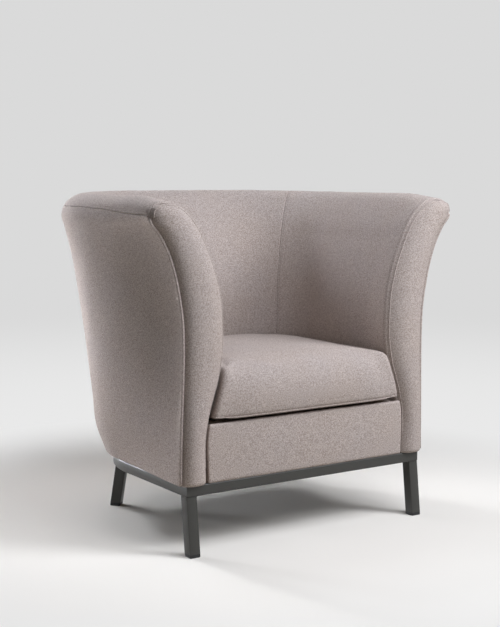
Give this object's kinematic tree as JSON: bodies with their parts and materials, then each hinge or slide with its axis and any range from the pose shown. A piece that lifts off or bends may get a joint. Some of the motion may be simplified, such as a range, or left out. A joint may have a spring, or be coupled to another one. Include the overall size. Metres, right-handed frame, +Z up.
{
  "type": "tub chair",
  "caption": "Upholstered tub chair with a flared wrap-round back, a loose seat cushion and a dark steel base on square legs.",
  "frame": {"origin": "on the floor, under the middle of the chair's width and depth", "axes": "+X to the right as seen from the front, along the width; +Y from the front to the back; +Z up"},
  "size_m": [0.912, 0.7408, 0.8413],
  "materials": {
    "upholstery": "heathered felt-like weave, matt",
    "steel_base": "satin powder coat, dark warm grey",
    "glide_plastic": "matt black",
    "screw_steel": "zinc plated",
    "plywood": "raw plywood",
    "timber": "raw sawn hardwood",
    "webbing": "coarse elastic weave",
    "deck_cloth": "black spunbonded cloth",
    "dust_cloth": "black spunbonded cloth",
    "fibre": "white polyester fibre",
    "foam": "open-celled upholstery foam",
    "zip": "nylon coil on tape"
  },
  "bodies": {
    "frame": {"front_rail": "steel_base", "left_rail": "steel_base", "right_rail": "steel_base", "left_back_bend": "steel_base", "right_back_bend": "steel_base", "back_rail": "steel_base", "front_left_leg": "steel_base", "front_right_leg": "steel_base", "back_left_leg": "steel_base", "back_right_leg": "steel_base", "front_left_glide": "glide_plastic", "front_right_glide": "glide_plastic", "back_left_glide": "glide_plastic", "back_right_glide": "glide_plastic", "fixing_tabs": "steel_base", "frame_screws": "screw_steel", "front_board": "plywood", "left_board": "plywood", "right_board": "plywood", "back_board": "plywood", "front_seat_rail": "timber", "left_seat_rail": "timber", "right_seat_rail": "timber", "back_seat_rail": "timber", "left_front_post": "timber", "right_front_post": "timber", "arm_ribs": "plywood", "corner_ribs": "plywood", "back_ribs": "plywood", "left_top_rail": "timber", "right_top_rail": "timber", "back_top_rail": "timber", "webbing_lengthwise": "webbing", "webbing_crosswise": "webbing", "deck_foam": "foam", "deck_cloth": "deck_cloth", "seat_front_foam": "foam", "seat_front_cover": "upholstery", "inside_back_foam": "foam", "left_arm_foam": "foam", "right_arm_foam": "foam", "left_facing_foam": "foam", "right_facing_foam": "foam", "outside_wadding": "fibre", "inside_back_cover": "upholstery", "left_inside_cover": "upholstery", "right_inside_cover": "upholstery", "left_outside_cover": "upholstery", "right_outside_cover": "upholstery", "outside_back_cover": "upholstery", "left_facing_cover": "upholstery", "right_facing_cover": "upholstery", "left_piping": "upholstery", "right_piping": "upholstery", "dust_cover": "dust_cloth"},
    "cushion": {"cushion_core": "foam", "cushion_wrap": "fibre", "cushion_top_cover": "upholstery", "cushion_bottom_cover": "upholstery", "cushion_zip": "zip"}
  },
  "joints": [
    {"name": "cushion_slide", "type": "slide", "parent": "frame", "child": "cushion", "axis": [0, -1, 0], "range_m": [0, 0.53]}
  ]
}
